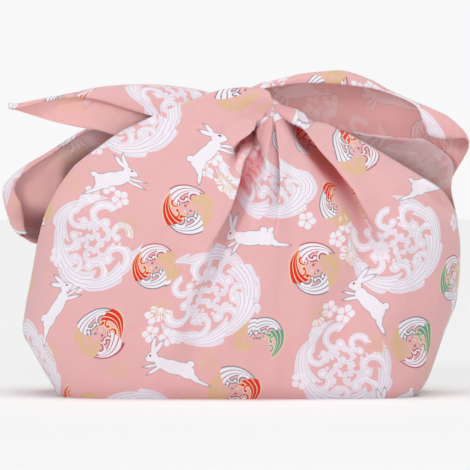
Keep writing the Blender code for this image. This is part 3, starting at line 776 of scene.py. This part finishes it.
def joined(kind, values, **settings):
    # a node whose first inputs are the values, at least one of them a wire
    tree = next(value.tree for value in values if isinstance(value, Wire))
    return addNode(tree, kind, dict(enumerate(values)), **settings)


def calc(operation, *values):
    return Wire(joined("ShaderNodeMath", values, operation=operation).outputs[0])


def lineOf(value, factor, offset):
    # factor * value + offset
    return calc("MULTIPLY_ADD", value, factor, offset)


def vector(operation, *values):
    return Wire(joined("ShaderNodeVectorMath", values, operation=operation).outputs["Vector"])


def distance(place):
    return Wire(joined("ShaderNodeVectorMath", [place], operation="LENGTH").outputs["Value"])


def scaled(place, factor):
    inputs = {0: place, "Scale": factor}
    return Wire(addNode(place.tree, "ShaderNodeVectorMath", inputs, operation="SCALE").outputs[0])


def split(place):
    return [Wire(output) for output in joined("ShaderNodeSeparateXYZ", [place]).outputs[:2]]


def channels(colour):
    return [Wire(output) for output in joined("ShaderNodeSeparateColor", [colour]).outputs]


def turned(place, angle):
    inputs = {"Vector": place, "Angle": angle}
    return Wire(addNode(place.tree, "ShaderNodeVectorRotate", inputs, rotation_type="Z_AXIS").outputs[0])


def step(value, start, end):
    # 0 at start, 1 at end, smooth between
    inputs = {"Value": value, "From Min": start, "From Max": end}
    return Wire(addNode(value.tree, "ShaderNodeMapRange", inputs, interpolation_type="SMOOTHSTEP").outputs[0])


def mixed(share, first, second, way="MIX"):
    # inputs 6 and 7 of a Mix node are its colours
    tree = next(value.tree for value in (share, first, second) if isinstance(value, Wire))
    inputs = {0: share, 6: first, 7: second}
    return Wire(addNode(tree, "ShaderNodeMix", inputs, data_type="RGBA", blend_type=way).outputs[2])


def noise(place, scale, detail):
    inputs = {"Vector": place, "Scale": scale, "Detail": detail}
    return Wire(addNode(place.tree, "ShaderNodeTexNoise", inputs).outputs[0])


def drawn(tree, dimensions, inputs):
    # a random number and a random colour for each whole number or place
    node = addNode(tree, "ShaderNodeTexWhiteNoise", inputs, noise_dimensions=dimensions)
    return Wire(node.outputs["Value"]), Wire(node.outputs["Color"])


def pointValue(tree, name):
    return Wire(addNode(tree, "ShaderNodeAttribute", {}, attribute_name=name).outputs["Fac"])


def oval(place, centre, size, angle):
    # distance to an ellipse's edge, about (|q| - 1) * short radius, negative inside
    inputs = {
        "Vector": place,
        "Location": (*centre, 0.0),
        "Rotation": (0.0, 0.0, math.radians(angle)),
        "Scale": (*size, 1.0),
    }
    node = addNode(place.tree, "ShaderNodeMapping", inputs, vector_type="TEXTURE")
    return lineOf(distance(Wire(node.outputs[0])), min(size), -min(size))


def newGroup(name, inputs, outputs):
    # sockets are given as a name and a kind: Float, Vector or Color
    tree = bpy.data.node_groups.new(name, "ShaderNodeTree")
    for way, sockets in (("INPUT", inputs), ("OUTPUT", outputs)):
        for label, kind in sockets.items():
            tree.interface.new_socket(name=label, in_out=way, socket_type="NodeSocket" + kind)
    start = tree.nodes.new("NodeGroupInput")
    return tree, {label: Wire(start.outputs[label]) for label in inputs}


def closeGroup(tree, **values):
    addNode(tree, "NodeGroupOutput", values)
    return tree


def useGroup(tree, group, **values):
    node = addNode(tree, "ShaderNodeGroup", values, node_tree=group)
    return {output.name: Wire(output) for output in node.outputs}


def srgb(text):
    # a colour from its six hexadecimal digits, as the linear values that shaders take
    parts = [int(text[k : k + 2], 16) / 255.0 for k in (0, 2, 4)]
    return tuple([c / 12.92 if c <= 0.04045 else ((c + 0.055) / 1.055) ** 2.4 for c in parts] + [1.0])


inks = {
    "ground": srgb("E2B0B1"),
    "white": srgb("EAE4EB"),
    "lilac": srgb("C8B4C6"),
    "red": srgb("D8322B"),
    "green": srgb("6B9E8B"),
    "gold": srgb("D9B88C"),
    "paleGold": srgb("E8D5B0"),
    "grey": srgb("77747C"),
    "darkRed": srgb("A93443"),
}

printLayout = {
    "spacing": 72.0,
    "turn": 27.0,  # degrees that the rows of motifs are turned
    "jitter": 9.0,
    "lean": (1.9, -0.95),  # radians over which rabbits lean, and the least lean
    "sparkleJitter": 12.0,
    "sparkles": 0.52,  # a square has a sparkle above this chance
    "singleBlossoms": 0.16,  # and a blossom below this one
    "smallRounds": 0.40,  # a small round above this chance, a second rabbit below it
    "redOverGold": 0.30,
    "greenRounds": 0.76,
    "openRounds": 0.66,  # rounds above this chance lack their last quarter
    "goldMottle": (0.42, 0.40, 0.62, 0.5),  # scale, where it starts and is full, and how much it takes away
}

# rounds of waves. Hooks: count, distance, size, thickness, start, mirrored, seed
whiteRound = {
    "radius": 26.0,
    "sweep": 0.9,  # radians that the commas lag from the middle to the rim
    "commas": 7.0,
    "stripes": 5.0,
    "sprayReach": 0.55,
    "hooks": [(7, 0.56, 0.235, 0.38, 0.31, False, 2.0), (5, 0.22, 0.15, 0.40, 0.0, True, 11.0)],
    # blossoms at its thin side: place from the round's middle, and size
    "blossoms": (((-25.0, 9.0), 4.8), ((-30.5, 1.5), 4.4), ((-24.5, -5.5), 4.6)),
}
inkRound = {
    "radius": 13.4,
    "smallRadius": 11.6,
    "sweep": 0.9,
    "commas": 4.0,
    "stripes": 3.0,
    "sprayReach": 0.20,
    "hooks": [(8, 0.50, 0.20, 0.40, 0.30, False, 5.0)],
}
curlShape = {"start": 0.12, "end": 0.72, "tightens": 0.5, "thins": 0.5, "ballAt": 0.60, "ball": 1.05}
sparkle = {"rays": 7.0, "least": 2.6, "more": 3.0, "clear": (1.1, 1.6), "blossom": 4.6}


def cellGroup():
    # divides the cloth in squares, and gives the place in each square from its moved middle, turned at random
    tree, given = newGroup(
        "printSquares",
        {"Place": "Vector", "Offset": "Vector", "Spacing": "Float", "Jitter": "Float", "Seed": "Float"},
        {"Local": "Vector", "Upright": "Vector", "Chance": "Float", "Random": "Color"},
    )
    shrunk = scaled(vector("ADD", given["Place"], given["Offset"]), 1.0 / given["Spacing"])
    cell = vector("ADD", vector("FLOOR", shrunk), (0.5, 0.5, 0.0))
    chance, random = drawn(tree, "4D", {"Vector": cell, "W": given["Seed"]})
    inCell = vector("SUBTRACT", vector("FRACTION", shrunk), (0.5, 0.5, 0.0))
    nudge = vector("SUBTRACT", random, (0.5, 0.5, 0.5))
    flat = vector("ADD", scaled(inCell, given["Spacing"]), scaled(nudge, given["Jitter"]))
    flat = vector("MULTIPLY", flat, (1.0, 1.0, 0.0))
    # upright motifs only lean, and half of them face the other way
    most, least = printLayout["lean"]
    leaning = turned(flat, lineOf(chance, most, least - math.radians(printLayout["turn"])))
    way = lineOf(channels(random)[1] > 0.5, 2.0, -1.0)
    side = Wire(addNode(tree, "ShaderNodeCombineXYZ", {0: way, 1: 1.0}).outputs[0])
    upright = vector("MULTIPLY", leaning, side)
    local = turned(flat, chance * (2.0 * math.pi))
    return closeGroup(tree, Local=local, Upright=upright, Chance=chance, Random=random)


def curls(place, count, at, size, thick, start, mirror, seed):
    # hooks set round a ring: each is an arc that tightens and thins as it turns, with a ball at its end. With
    # t the share of a turn, the arc is where |r - (1 - t / 2)| is below thick * (1 - t / 2)
    place = turned(place, -start)
    if mirror:
        place = vector("MULTIPLY", place, (1.0, -1.0, 1.0))
    x, y = split(place)
    sector = 2.0 * math.pi / count
    number = calc("ROUND", calc("ARCTAN2", y, x) / sector)
    chance = drawn(place.tree, "1D", {"W": number + seed})[0]
    local = turned(place, number * -sector)
    hook = scaled(vector("SUBTRACT", local, (at, 0.0, 0.0)), lineOf(chance, -0.5 / size, 1.25 / size))
    hookX, hookY = split(hook)
    turn = calc("FRACT", lineOf(calc("ARCTAN2", hookY, hookX), 0.5 / math.pi, curlShape["start"]))
    ring = distance(hook) - lineOf(turn, -curlShape["tightens"], 1.0)
    arc = abs(ring) - lineOf(turn, -curlShape["thins"] * thick, thick)
    arc = calc("MAXIMUM", arc, lineOf(turn, 3.0, -3.0 * curlShape["end"]))
    end = 2.0 * math.pi * (curlShape["end"] - curlShape["start"])
    ballAt = (curlShape["ballAt"] * math.cos(end), curlShape["ballAt"] * math.sin(end), 0.0)
    ball = distance(vector("SUBTRACT", hook, ballAt)) - curlShape["ball"] * thick
    return calc("MINIMUM", arc, ball) * size


def waveGroup(name, kind):
    # a round of waves. Its outer band, from inner to rim, is made of commas that chase each other, and hooks
    # stand inside the band. With c the place along a comma, the coloured band's inner edge is at
    # 0.88 - 0.46 c^0.55 and its rim at 0.92 + 0.08 c. Foam is negative inside the waves until it is a mask
    inked = kind is inkRound
    masks = {"Foam": "Float", "Line": "Float", "Sector": "Float"}
    tree, given = newGroup(name, {"Local": "Vector", "Radius": "Float"}, masks)
    place = scaled(given["Local"], 1.0 / given["Radius"])
    x, y = split(place)
    r = distance(place)
    # the angle grows with r, so that the commas are swept back
    psi = lineOf(r, kind["sweep"], calc("ARCTAN2", y, x))
    around = calc("FRACT", psi * (0.5 / math.pi))
    comma = calc("FRACT", around * kind["commas"])
    if inked:
        inner = lineOf(calc("POWER", comma, 0.55), -0.46, 0.88)
        rim = lineOf(comma, 0.08, 0.92)
    else:
        # the white band is broad on one side and thin on the other
        bend = lineOf(calc("COSINE", psi), 0.5, 0.5)
        claw = lineOf(calc("POWER", comma, 1.4), -0.16, -0.12)
        inner = lineOf(claw, step(bend, 0.03, 0.22), lineOf(calc("POWER", bend, 1.3), -0.26, 1.0))
        rim = lineOf(calc("POWER", comma, 0.5), 0.10, 0.88)
    outer = r - rim
    foam = calc("MAXIMUM", outer, inner - r)
    band = step(foam, 0.0, -0.03)
    for ring in kind["hooks"]:
        foam = calc("MINIMUM", foam, curls(place, *ring))
    # drops of spray
    inputs = {"Vector": place, "Scale": 6.0, "Randomness": 0.8}
    dots = Wire(addNode(tree, "ShaderNodeTexVoronoi", inputs, voronoi_dimensions="2D").outputs["Distance"])
    spray = calc("MAXIMUM", lineOf(dots, 0.16, -0.034), r - kind["sprayReach"])
    foam = calc("MAXIMUM", calc("MINIMUM", foam, spray), outer)
    # lines keep their share of the band's width, so that they part and close with it
    share = (r - inner) / (rim - inner)
    stripes = step(calc("COSINE", share * (2.0 * math.pi * kind["stripes"])), 0.66, 0.90) * band
    edge = step(abs(foam + 0.010), 0.034, 0.012)
    if not inked:
        # white foam has a fine line a little inside its edge
        edge = calc("MAXIMUM", edge * 0.3, step(abs(foam + 0.038), 0.011, 0.002)) * 0.7
    line = calc("MAXIMUM", stripes, edge)
    return closeGroup(tree, Foam=step(foam, 0.010, -0.010), Line=line, Sector=around)


# ovals of a leaping rabbit in millimetres: middle, half axes, degrees turned
rabbitOvals = {
    "trunk": ((0.0, 0.0), (7.4, 3.7), 20.0),
    "haunch": ((-5.4, -2.4), (4.7, 3.8), 42.0),
    "chest": ((5.2, 2.6), (3.6, 3.0), 30.0),
    "head": ((9.4, 5.8), (3.1, 2.5), -14.0),
    "muzzle": ((11.6, 5.0), (1.7, 1.3), -20.0),
    "farEar": ((5.6, 10.4), (1.15, 4.6), 44.0),
    "nearEar": ((7.9, 11.5), (1.1, 4.7), 20.0),
    "nearForeleg": ((9.6, -0.8), (4.6, 0.9), -26.0),
    "farForeleg": ((11.2, 1.4), (3.8, 0.75), -6.0),
    "thigh": ((-8.2, -5.6), (4.4, 1.7), 50.0),
    "hindFoot": ((-12.6, -9.4), (3.9, 0.9), 30.0),
    "tail": ((-8.4, 1.0), (2.0, 1.5), 30.0),
}
rabbitEye = ((10.4, 6.6), (0.55, 0.55), 0.0)


def rabbitGroup():
    # the ovals run into each other with a smooth minimum of their distances
    masks = {"Fill": "Float", "Line": "Float", "Eye": "Float"}
    tree, given = newGroup("leapingRabbit", {"Local": "Vector"}, masks)
    near, *others = [oval(given["Local"], *shape) for shape in rabbitOvals.values()]
    for gap in others:
        near = calc("SMOOTH_MIN", near, gap, 0.9)
    eye = step(oval(given["Local"], *rabbitEye), 0.12, -0.12)
    return closeGroup(tree, Fill=step(near, 0.12, -0.12), Line=step(abs(near), 0.30, 0.10), Eye=eye)


def blossom(place, centre, size):
    # five petals: an edge at r = size (0.5 + 0.5 |cos 2.5 phi|^0.5), with gaps between them and a small eye
    local = scaled(vector("SUBTRACT", place, (*centre, 0.0)), 1.0 / size)
    x, y = split(local)
    r = distance(local)
    petal = abs(calc("COSINE", calc("ARCTAN2", y, x) * 2.5))
    edge = lineOf(calc("POWER", petal, 0.5), 0.5, 0.5)
    return step(r - edge, 0.04, -0.04) * step(petal * r, 0.07, 0.12) * step(r, 0.14, 0.20)


def starGroup():
    # a sparkle of fine rays, |cos 7 phi| near 1, round a clear ring, and a blossom
    tree, given = newGroup("sparkleAndBlossom", {"Local": "Vector"}, {"Sparkle": "Float", "Blossom": "Float"})
    x, y = split(given["Local"])
    r = distance(given["Local"])
    rays = abs(calc("COSINE", calc("ARCTAN2", y, x) * sparkle["rays"]))
    reach = lineOf(calc("POWER", rays, 2.0), sparkle["more"], sparkle["least"])
    thin = step((1.0 - rays) * r, 0.55, 0.25)
    rayed = thin * step(r - reach, 0.4, -0.4) * step(r, *sparkle["clear"])
    return closeGroup(tree, Sparkle=rayed, Blossom=blossom(given["Local"], (0.0, 0.0), sparkle["blossom"]))


def printGroup():
    # the print: ground, white wave rounds with blossoms, sparkles, coloured wave rounds, rabbits
    squares, rabbit, star = cellGroup(), rabbitGroup(), starGroup()
    whiteWave, inkWave = waveGroup("whiteWaveRound", whiteRound), waveGroup("inkWaveRound", inkRound)
    tree, given = newGroup("rabbitAndWavePrint", {"Place": "Vector"}, {"Colour": "Color"})
    layout, jitter = printLayout, printLayout["jitter"]
    spacing, half = layout["spacing"], layout["spacing"] / 2.0
    place = turned(scaled(given["Place"], 1.0 / mm), math.radians(layout["turn"]))

    def cell(offset, seed, jitter, size=spacing):
        offset = (*offset, 0.0)
        return useGroup(tree, squares, Place=place, Offset=offset, Spacing=size, Jitter=jitter, Seed=seed)

    mottle, goldFrom, goldTo, goldLost = layout["goldMottle"]
    goldShare = step(noise(place, mottle, 3.0), goldFrom, goldTo)
    # white wave rounds
    at = cell((0.0, 0.0), 1.3, jitter)
    big = useGroup(tree, whiteWave, Local=at["Local"], Radius=whiteRound["radius"])
    colour = mixed(big["Foam"], inks["ground"], inks["white"])
    colour = mixed(big["Line"] * 0.75, colour, inks["lilac"])
    for centre, size in whiteRound["blossoms"]:
        colour = mixed(blossom(at["Local"], centre, size), colour, inks["white"])
    # sparkles and single blossoms
    at = cell((0.0, 0.0), 7.9, layout["sparkleJitter"], half)
    small = useGroup(tree, star, Local=at["Local"])
    colour = mixed(small["Sparkle"] * (at["Chance"] > layout["sparkles"]) * 0.85, colour, inks["gold"])
    colour = mixed(small["Blossom"] * (at["Chance"] < layout["singleBlossoms"]), colour, inks["white"])
    # coloured wave rounds in two sizes, with quarters of one ink, of white with grey lines, of gold, and of
    # white with red lines
    for offset, seed, radius, least in (
        ((half, half), 4.1, inkRound["radius"], -1.0),
        ((half, 0.0), 9.7, inkRound["smallRadius"], layout["smallRounds"]),
    ):
        at = cell(offset, seed, jitter)
        ball = useGroup(tree, inkWave, Local=at["Local"], Radius=radius)
        pick = channels(at["Random"])
        ink = mixed(pick[0] > layout["redOverGold"], inks["gold"], inks["red"])
        ink = mixed(pick[1] > layout["greenRounds"], ink, inks["green"])
        first, last = ball["Sector"] < 0.25, ball["Sector"] > 0.75
        third = calc("COMPARE", ball["Sector"], 0.625, 0.125)
        shown = (at["Chance"] > least) - last * (pick[2] > layout["openRounds"])
        shown = calc("MAXIMUM", shown, 0.0)
        foamInk = mixed(third, mixed(first, inks["white"], ink), inks["gold"])
        # gold lies unevenly
        cover = 1.0 - third * goldShare * goldLost
        lineInk = mixed(first, mixed(last, inks["grey"], inks["darkRed"]), inks["paleGold"])
        colour = mixed(ball["Foam"] * shown * cover, colour, foamInk)
        colour = mixed(ball["Line"] * lineOf(third, -0.9, 0.9) * shown, colour, lineInk)
    # rabbits
    for offset, seed, most in (((0.0, half), 3.3, 2.0), ((half, 0.0), 9.7, layout["smallRounds"])):
        at = cell(offset, seed, jitter)
        hare = useGroup(tree, rabbit, Local=at["Upright"])
        shown = at["Chance"] < most
        colour = mixed(hare["Fill"] * shown, colour, inks["white"])
        colour = mixed(hare["Line"] * shown * 0.5, colour, inks["grey"])
        colour = mixed(hare["Eye"] * shown, colour, inks["darkRed"])
    return closeGroup(tree, Colour=colour)


# the cotton's surface in millimetres
weave = {
    "thread": 0.55,
    "crumpleScale": 0.16,
    "crumple": 1.1,
    "slub": (0.25, 2.2, 1.0),
    "stitchIn": 5.2,  # distance of the stitches from the hem's edge
    "stitchLength": 2.4,
    "stitchWidth": (0.45, 0.15),
}


def clothGroup():
    # height of the weave, the crumple and the hem's stitches, for a Bump node. The weave is
    # sin(2 pi x / thread) * sin(2 pi y / thread), and the stitches are dashes along a line inside the hem
    masks = {"Height": "Float", "Shade": "Float", "Stitch": "Float"}
    tree, given = newGroup("cottonSurface", {"Place": "Vector", "Hem": "Float"}, masks)
    place = scaled(given["Place"], 1.0 / mm)
    x, y = split(place)
    warp, weft = (calc("SINE", way * (2.0 * math.pi / weave["thread"])) for way in (x, y))
    woven = warp * weft
    slub = noise(vector("MULTIPLY", place, weave["slub"]), 1.0, 2.0)
    dash = step(calc("SINE", (x + y) * (2.0 * math.pi / weave["stitchLength"])), -0.2, 0.2)
    row = step(abs(given["Hem"] - weave["stitchIn"]), *weave["stitchWidth"])
    stitch = dash * row
    height = lineOf(woven, 0.05, noise(place, weave["crumpleScale"], 4.0) * weave["crumple"])
    height = lineOf(stitch, 0.2, lineOf(row, -0.25, height))
    shade = lineOf(woven, 0.02, lineOf(slub, 0.10, 0.95))
    return closeGroup(tree, Height=height, Shade=shade, Stitch=stitch)


cottonFinish = {
    "Roughness": 0.88,
    "Specular IOR Level": 0.25,
    "Sheen Weight": 0.12,
    "Sheen Roughness": 0.5,
    # thin cotton lets some light through, so that its folds glow
    "Subsurface Weight": 0.45,
    "Subsurface Radius": (1.0, 0.45, 0.45),
    "Subsurface Scale": 0.5 * mm,
}
cottonTints = {
    # the wrong side's pale tint is partly its own paler colour and partly painted light, made brighter to
    # stand in for light coming through the thin cloth into the folds' insides
    "wrongSide": srgb("FACBC8"),
    "showsThrough": 0.36,
    "stitch": srgb("F0C4C4"),
    "stitchShare": 0.4,
    "plain": (1.0, 1.0, 1.0, 1.0),
    "paintedTroughShade": (0.93, 0.43, 0.44, 1.0),  # painted shade: a dark red tint multiplied into the colour of deep troughs, standing in for light thrown from cloth to cloth
    "paintedShadeDepths": (2.0, 9.0),
}
cottonBump = {"Strength": 0.55, "Distance": 0.6 * mm}


def cotton(name, printed, surface, wrongSide):
    # the print, its fainter print on the wrong side under a pale tint that is partly painted light, the
    # stitches, the slubs and painted shade that darkens and reddens the deep troughs
    material = bpy.data.materials.new(name)
    material.use_nodes = True
    tree, tints = material.node_tree, cottonTints
    shader = tree.nodes["Principled BSDF"]
    uv = Wire(addNode(tree, "ShaderNodeUVMap", {}, uv_map="printPlace").outputs[0])
    colour = useGroup(tree, printed, Place=uv)["Colour"]
    look = useGroup(tree, surface, Place=uv, Hem=pointValue(tree, "hem"))
    if wrongSide:
        # paled towards the wrong side's tint: partly the reverse's own colour, partly painted light
        colour = mixed(tints["showsThrough"], tints["wrongSide"], colour)
    colour = mixed(look["Stitch"] * tints["stitchShare"], colour, tints["stitch"])
    colour = mixed(1.0, colour, look["Shade"], "MULTIPLY")
    # painted shade: the colour is darkened and reddened where the cloth lies deep in a trough
    deep = step(pointValue(tree, "trough"), *tints["paintedShadeDepths"])
    colour = mixed(1.0, colour, mixed(deep, tints["plain"], tints["paintedTroughShade"]), "MULTIPLY")
    for label, value in cottonFinish.items():
        shader.inputs[label].default_value = value
    bump = addNode(tree, "ShaderNodeBump", {**cottonBump, "Height": look["Height"]})
    tree.links.new(colour.socket, shader.inputs["Base Color"])
    tree.links.new(bump.outputs[0], shader.inputs["Normal"])
    return material


def buildStage():
    bpy.ops.mesh.primitive_plane_add(size=6.0)
    floor = bpy.context.object
    floor.name = "floor"
    material = bpy.data.materials.new("paleFloor")
    material.use_nodes = True
    shader = material.node_tree.nodes["Principled BSDF"]
    shader.inputs["Base Color"].default_value = (0.97, 0.97, 0.97, 1.0)
    shader.inputs["Roughness"].default_value = 0.9
    floor.data.materials.append(material)


# the room lights the cloth softly, and is seen as plain white
room = {"light": 0.40, "seen": 0.94}
lampAim = (0.0, 0.0, 0.07)
# spread is a sun's angle in radians, size an area lamp's side in metres
lamps = {
    "key": {"kind": "SUN", "at": (-0.80, -1.0, 0.50), "spread": 0.20, "power": 0.70},
    "fill": {"kind": "AREA", "at": (0.45, -2.5, 0.60), "size": 1.3, "power": 12.2},
    "top": {"kind": "SUN", "at": (0.1, -0.1, 1.0), "spread": 1.0, "power": 1.42},
}


def buildLights():
    world = bpy.data.worlds.new("studio")
    world.use_nodes = True
    tree = world.node_tree
    light, seen = tree.nodes["Background"], tree.nodes.new("ShaderNodeBackground")
    for background, strength in ((light, room["light"]), (seen, room["seen"])):
        background.inputs["Color"].default_value = (1.0, 1.0, 1.0, 1.0)
        background.inputs["Strength"].default_value = strength
    path, blend = tree.nodes.new("ShaderNodeLightPath"), tree.nodes.new("ShaderNodeMixShader")
    tree.links.new(path.outputs["Is Camera Ray"], blend.inputs[0])
    tree.links.new(light.outputs[0], blend.inputs[1])
    tree.links.new(seen.outputs[0], blend.inputs[2])
    tree.links.new(blend.outputs[0], tree.nodes["World Output"].inputs["Surface"])
    bpy.context.scene.world = world
    for name, lamp in lamps.items():
        data = bpy.data.lights.new(name, lamp["kind"])
        if lamp["kind"] == "SUN":
            data.angle = lamp["spread"]
        else:
            data.size = lamp["size"]
        data.energy = lamp["power"]
        piece = bpy.data.objects.new(name, data)
        piece.location = lamp["at"]
        aim = np.array(lampAim) - np.array(lamp["at"])
        down = math.atan2(math.hypot(aim[0], aim[1]), -aim[2])
        piece.rotation_euler = (down, 0.0, math.atan2(aim[1], aim[0]) - math.pi / 2.0)
        bpy.context.scene.collection.objects.link(piece)


camera = {"distance": 3.2, "elevation": 1.8, "centre": (0.0, 0.0, 0.0795), "width": 0.235, "sensor": 36.0}


def buildCamera():
    # looks along +Y from the photo's height, with the object's width filling the picture
    data = bpy.data.cameras.new("camera")
    data.sensor_width = camera["sensor"]
    data.lens = camera["sensor"] * camera["distance"] / camera["width"]
    eye = bpy.data.objects.new("camera", data)
    rise = math.radians(camera["elevation"])
    x, y, z = camera["centre"]
    eye.location = (x, y - camera["distance"] * math.cos(rise), z + camera["distance"] * math.sin(rise))
    eye.rotation_euler = (math.pi / 2.0 - rise, 0.0, 0.0)
    bpy.context.scene.collection.objects.link(eye)
    bpy.context.scene.camera = eye
    bpy.context.scene.view_settings.view_transform = "Standard"


furoshiki = buildCloth()
printed, surface = printGroup(), clothGroup()
furoshiki.data.materials.append(cotton("cottonRightSide", printed, surface, False))
furoshiki.data.materials.append(cotton("cottonWrongSide", printed, surface, True))
print("print and cotton made")
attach(furoshiki, "root")
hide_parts("furoshiki_cloth")
buildStage()
buildLights()
buildCamera()
print("stage, lights and camera made")
